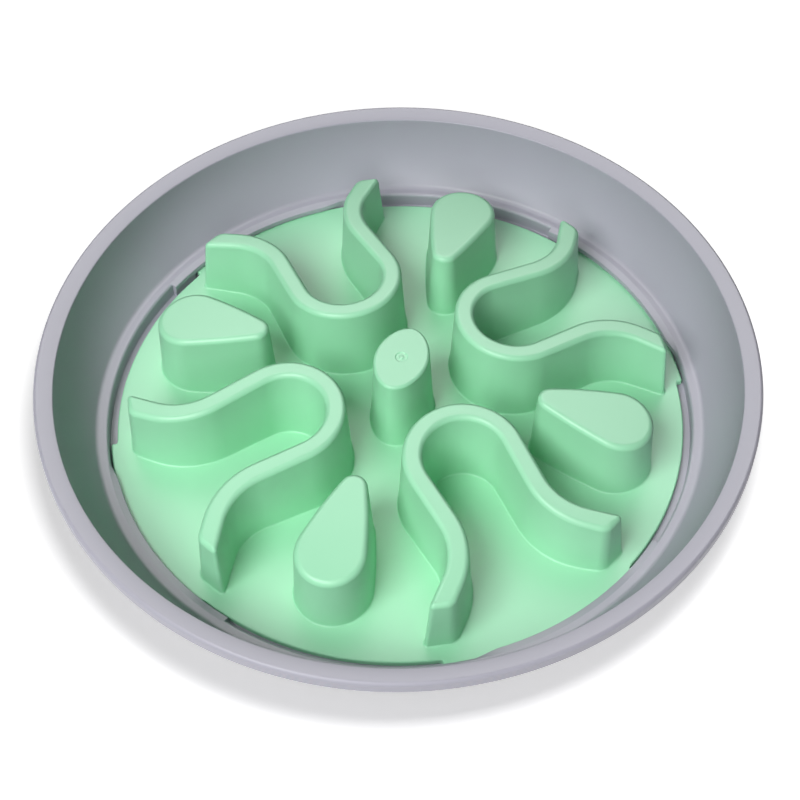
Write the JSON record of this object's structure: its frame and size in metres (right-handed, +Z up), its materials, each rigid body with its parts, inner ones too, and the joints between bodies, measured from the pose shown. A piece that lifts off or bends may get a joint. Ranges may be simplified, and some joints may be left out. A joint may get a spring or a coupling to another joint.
{
  "type": "slow feeder bowl",
  "caption": "Wide shallow pet bowl with a twist-in maze insert whose curved walls and posts make the food slow to reach.",
  "frame": {"origin": "on the table, below the middle of the bowl", "axes": "+Z up along the bowl's axis; +X and +Y through the teardrop posts, with the maze walls between them"},
  "size_m": [0.29, 0.29, 0.0482],
  "materials": {
    "bowl_plastic": "satin moulded plastic",
    "insert_plastic": "satin moulded plastic",
    "pad_rubber": "matt moulded rubber"
  },
  "bodies": {
    "bowl": {"bowl": "bowl_plastic", "foot_pad_1": "pad_rubber", "foot_pad_2": "pad_rubber", "foot_pad_3": "pad_rubber", "foot_pad_4": "pad_rubber"},
    "insert": {"insert_plate": "insert_plastic", "middle_post": "insert_plastic", "post_right": "insert_plastic", "post_back": "insert_plastic", "post_left": "insert_plastic", "post_front": "insert_plastic", "maze_wall_back_right": "insert_plastic", "maze_wall_back_left": "insert_plastic", "maze_wall_front_left": "insert_plastic", "maze_wall_front_right": "insert_plastic"}
  },
  "joints": [
    {"name": "insert_twist", "type": "hinge", "parent": "bowl", "child": "insert", "pos_m": [0, 0, 0.0083], "axis": [0, 0, 1], "range_deg": [-40, 0]}
  ]
}
